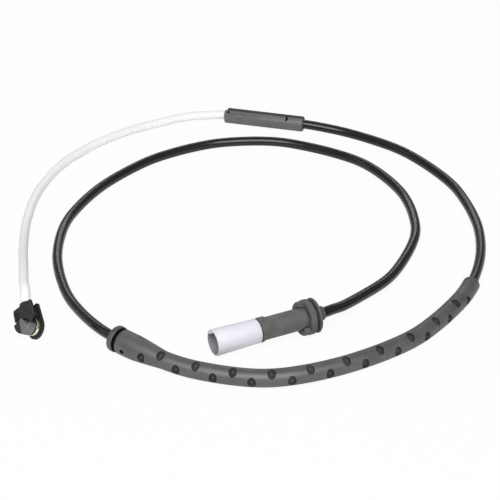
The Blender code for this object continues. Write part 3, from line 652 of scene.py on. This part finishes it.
def splice_shell(name, front):
    """One half of the splice's clip-on tube, with the front half's latch windows."""
    start = 0.0 if front else REAR_START
    bore = CABLE_R + GAP
    round_end = SPLICE_EDGE * BEND
    outline = ((start, bore), (start, SPLICE_R - SPLICE_EDGE),
               (start + round_end, SPLICE_R - round_end), (start + SPLICE_EDGE, SPLICE_R),
               (SPLICE_LONG - SPLICE_EDGE, SPLICE_R), (SPLICE_LONG - round_end, SPLICE_R - round_end),
               (SPLICE_LONG, SPLICE_R - SPLICE_EDGE), (SPLICE_LONG, bore))
    across = splice_normal()
    side = 1 if front else -1
    half = trimmed(turned(outline), across * side * GAP / 2, -across * side)
    changes = []
    if front:
        down = Vector((1, 0, 0)).cross(across)
        turn = placing(Vector(), Vector((1, 0, 0)), across, down)
        for at, long, low, high in LATCHES:
            window = block((at, low, -SPLICE_R - GAP), (at + long, high, 0))
            window.transform(turn)
            changes.append((window, 'DIFFERENCE'))
        mat = grained("splice_grey")
        # The latch windows' cut walls take near-black painted shade.
        cut_shade = grained("splice_window_painted_shade")
    else:
        mat = grained("splice_dark")
        cut_shade = None
    piece = carved(name, half, changes, splice_place(), mat, cut_shade)
    node = "splice_shell_front" if front else "splice_shell_rear"
    return stands_for(piece, node)


def sleeve_radius(back):
    """The sleeve's outer radius at a distance back from its flanged end."""
    share = min(1.0, max(0.0, (back - BARREL_LONG) / (TAPER_LONG - BARREL_LONG)))
    return BARREL_R + (SLEEVE_R - BARREL_R) * share ** TAPER_EASE


def sleeve_outline():
    """The sleeve's straight outline as (along, radius), from its plain end to its flanged end."""
    long = SLEEVE_TO - SLEEVE_FROM
    bore = CABLE_R + GAP
    edge = SLEEVE_EDGE
    soft = edge * BEND
    points = [(0.0, bore), (0.0, SLEEVE_R - edge), (soft, SLEEVE_R - soft), (edge, SLEEVE_R)]
    groove = FLANGE_END_LONG + GROOVE_LONG
    run = long - groove - edge * 2
    for i in range(1, SLEEVE_STEPS + 1):
        at = edge + run * i / SLEEVE_STEPS
        points.append((at, sleeve_radius(long - at)))
    flange = ((groove + soft, BARREL_R - soft), (groove, BARREL_R - edge), (groove, GROOVE_R),
              (FLANGE_END_LONG, GROOVE_R), (FLANGE_END_LONG, FLANGE_END_R - edge),
              (FLANGE_END_LONG - soft, FLANGE_END_R - soft), (FLANGE_END_LONG - edge, FLANGE_END_R),
              (edge, FLANGE_END_R), (soft, FLANGE_END_R - soft), (0.0, FLANGE_END_R - edge),
              (0.0, bore))
    for back, radius in flange:
        points.append((long - back, radius))
    for i in range(1, SLEEVE_STEPS):
        points.append((long * (1 - i / SLEEVE_STEPS), bore))
    return points


def pocket_places():
    """(along, turn) of every pocket: rings of two opposite ones, turned to and fro from ring to ring."""
    long = SLEEVE_TO - SLEEVE_FROM
    found = []
    at, row = POCKET_FIRST, 1
    while at < long - BARREL_LONG - POCKET_LONG:
        turn = POCKET_ROW - row * POCKET_TURN
        shift = POCKET_BOW * math.sin(math.pi * at / long)
        found += [(at + shift, turn), (at + shift, turn + math.pi)]
        at += POCKET_PITCH / 2
        row = 1 - row
    return found


def pocket_tools():
    """The cutters that sink the pockets and the side hole, and the pips on the pockets' floors."""
    long = SLEEVE_TO - SLEEVE_FROM
    cutters, pips = bmesh.new(), bmesh.new()
    up = Matrix.Rotation(-math.pi / 2, 4, 'X')
    oval = Matrix.Diagonal((POCKET_LONG / 2, POCKET_ROUND / 2, 1, 1))
    for at, turn in pocket_places():
        floor_r = sleeve_radius(long - at) - POCKET_DEEP
        out = Matrix.Translation((at, 0, 0)) @ Matrix.Rotation(turn, 4, 'X')
        middle = Matrix.Translation((0, floor_r + CUTTER_HIGH / 2, 0))
        bmesh.ops.create_cone(cutters, cap_ends=True, segments=24, radius1=1 - POCKET_FLARE,
                              radius2=1 + POCKET_FLARE, depth=CUTTER_HIGH,
                              matrix=out @ middle @ up @ oval)
        bmesh.ops.create_cone(pips, cap_ends=True, segments=12, radius1=PIP_R, radius2=PIP_R * PIP_TOP,
                              depth=PIP_HIGH * 2, matrix=out @ Matrix.Translation((0, floor_r, 0)) @ up)
    out = Matrix.Translation((long - HOLE_AT, 0, 0)) @ Matrix.Rotation(HOLE_TURN, 4, 'X')
    down = Matrix.Rotation(math.pi / 2, 4, 'X')
    bmesh.ops.create_cone(cutters, cap_ends=True, segments=24, radius1=HOLE_R, radius2=HOLE_R,
                          depth=HOLE_DEEP * 2, matrix=out @ Matrix.Translation((0, BARREL_R, 0)) @ down)
    return [(cutters, 'DIFFERENCE'), (pips, 'UNION')]


def make_sleeve(line):
    """The grey rubber sleeve: turned straight, its pockets sunk, then bent along the cable."""
    blank = turned(sleeve_outline(), SLEEVE_SIDES)
    # The cut faces of the pockets and the side hole take painted shade, a darker rubber.
    sleeve = carved("dimpled_sleeve", blank, pocket_tools(), Matrix(), grained("sleeve_rubber"),
                    grained("sleeve_pocket_painted_shade"))
    paint_shade_in_hollows(sleeve)
    start = SPLICE_IN + SLEEVE_FROM
    for vert in sleeve.data.vertices:
        point, heading = along(line, start + vert.co.x)
        out = Vector((0, 0, 1)).cross(heading).normalized()
        up = heading.cross(out)
        vert.co = point + out * vert.co.y + up * vert.co.z
    return stands_for(sleeve, "rubber_sleeve")


def paint_shade_in_hollows(sleeve):
    """Paints shade into the groove beside the flange and the side hole: a near-black painted shade
    finish.
    """
    sleeve.data.materials.append(grained("sleeve_hollow_painted_shade"))
    long = SLEEVE_TO - SLEEVE_FROM
    slack = GAP / 10
    start, end = long - FLANGE_END_LONG - GROOVE_LONG, long - FLANGE_END_LONG
    hole = Vector((long - HOLE_AT, math.cos(HOLE_TURN) * BARREL_R, math.sin(HOLE_TURN) * BARREL_R))
    for face in sleeve.data.polygons:
        at = face.center.x
        off = math.hypot(face.center.y, face.center.z)
        in_groove = start - slack <= at <= end + slack and off < BARREL_R - SLEEVE_EDGE / 2
        in_hole = face.material_index == 1 and (face.center - hole).length < HOLE_DEEP * HOLE_REACH
        if off > CABLE_R + GAP * 2 and (in_groove or in_hole):
            face.material_index = 2


def plug_turn(angle):
    """A direction across the plug: 0 is level on its near side, a quarter turn is up."""
    return Vector((0, -math.cos(angle), math.sin(angle)))


def plug_collar():
    """The white open shell, with the flat in its bore that keys the mating plug, and painted shade in a
    darker grey on the bore.
    """
    soft = SHELL_WALL * SHELL_ROUND
    fine = soft * BEND
    outline = ((0, 0), (0, SHELL_MOUTH_R - soft), (fine, SHELL_MOUTH_R - fine), (soft, SHELL_MOUTH_R),
               (SHELL_LONG - SHELL_EDGE, SHELL_REAR_R), (SHELL_LONG, SHELL_REAR_R - SHELL_EDGE),
               (SHELL_LONG, 0))
    inner = SHELL_MOUTH_R - SHELL_WALL
    past = SHELL_LONG + SHELL_OVER
    bore = turned(((-SHELL_OVER, 0), (-SHELL_OVER, inner + SHELL_OVER / 2), (fine * 2, inner),
                   (past, SHELL_REAR_R - SHELL_WALL), (past, 0)))
    key = plug_turn(KEY_TURN)
    changes = [(trimmed(bore, key * KEY_OFF, key), 'DIFFERENCE')]
    piece = carved("plug_collar", turned(outline), changes, plug_place(), grained("plug_white"),
                   grained("plug_bore_painted_shade"))
    return stands_for(piece, "plug_shell")


def plug_body():
    """The dark housing behind the white shell, with its stepped key."""
    lip = SHELL_LONG + GAP
    edge = GAP / 2
    spigot = KEY_OFF - GAP
    outline = ((lip - SPIGOT_LONG, BODY_BORE_R), (lip - SPIGOT_LONG, spigot), (lip, spigot),
               (lip, LIP_R - edge), (lip + edge, LIP_R), (lip + LIP_LONG, LIP_R),
               (lip + LIP_LONG + edge, BODY_R), (BODY_END, BODY_R), (BODY_END, BODY_BORE_R))
    step = block((lip + edge, -STEP_HALF, BODY_R - STEP_HIGH * 2),
                 (lip + edge + STEP_LONG, STEP_HALF, BODY_R + STEP_HIGH), edge)
    step.transform(Matrix.Rotation(STEP_TURN, 4, 'X'))
    piece = carved("plug_body", turned(outline), [(step, 'UNION')], plug_place(), grained("plug_black"))
    return stands_for(piece, "plug_housing")


def rubber_sector(start, radius, middle, half):
    """A piece of ring that reaches from the grommet's front disc over the housing."""
    low = BODY_R + GAP
    front = BODY_END + GAP
    edge = (radius - low) * SECTOR_EDGE
    bm = turned(((start, low), (start, radius - edge), (start + edge * BEND, radius - edge * BEND),
                 (start + edge, radius), (front + DISC_LONG / 2, radius), (front + DISC_LONG / 2, low)))
    trimmed(bm, Vector(), plug_turn(middle - half - math.pi / 2))
    return trimmed(bm, Vector(), plug_turn(middle + half + math.pi / 2))


def plug_rubber():
    """The rubber grommet: two discs with a groove between, a hump, an under lip and a tail."""
    front = BODY_END + GAP
    groove = front + DISC_LONG
    rear = groove + NECK_GROOVE_LONG
    cone = rear + REAR_DISC_LONG
    bore = CABLE_R + GAP
    end = (PLUG_TAIL - PLUG_MOUTH).length
    edge = GAP
    outline = ((front, bore), (front, DISC_R - edge), (front + edge, DISC_R), (groove - edge, DISC_R),
               (groove, DISC_R - edge), (groove, NECK_GROOVE_R), (rear, NECK_GROOVE_R),
               (rear, DISC_R - edge), (rear + edge, DISC_R), (cone - edge, DISC_R),
               (cone, DISC_R - edge), (cone + CONE_LONG, CONE_R), (end, TAIL_R), (end, bore))
    hump = rubber_sector(front - HUMP_LONG, HUMP_R, HUMP_MIDDLE, HUMP_HALF)
    under = rubber_sector(front - LIP_UNDER_LONG, LIP_UNDER_R, LIP_UNDER_MIDDLE, LIP_UNDER_HALF)
    changes = [(hump, 'UNION'), (under, 'UNION')]
    solid = carved("plug_rubber_solid", turned(outline), changes, plug_place(), None)
    return stands_for(moulded("plug_rubber", solid, grained("grommet_rubber")), "plug_grommet")


def make_head():
    """The sensing head's moulding, its grey tip and its brass spring ring, with softened edges."""
    for name, node, finish in (("head_moulding", "head_housing", "head_black"),
                               ("grey_tip", "wear_tip", "tip_grey"),
                               ("brass_ring", "spring_ring", "ring_brass")):
        stands_for(moulded(name, node_copy(node), grained(finish)), node)


def dress_nodes():
    """Finishes for the small pieces that stay as the frame has them."""
    for node, kind in KEPT_NODES:
        dress(node, grained(node + "_finish", kind))


set_camera()
set_light()
floor()
make_cords()
make_head()
dress_nodes()
bpy.context.scene.view_settings.view_transform = 'Standard'
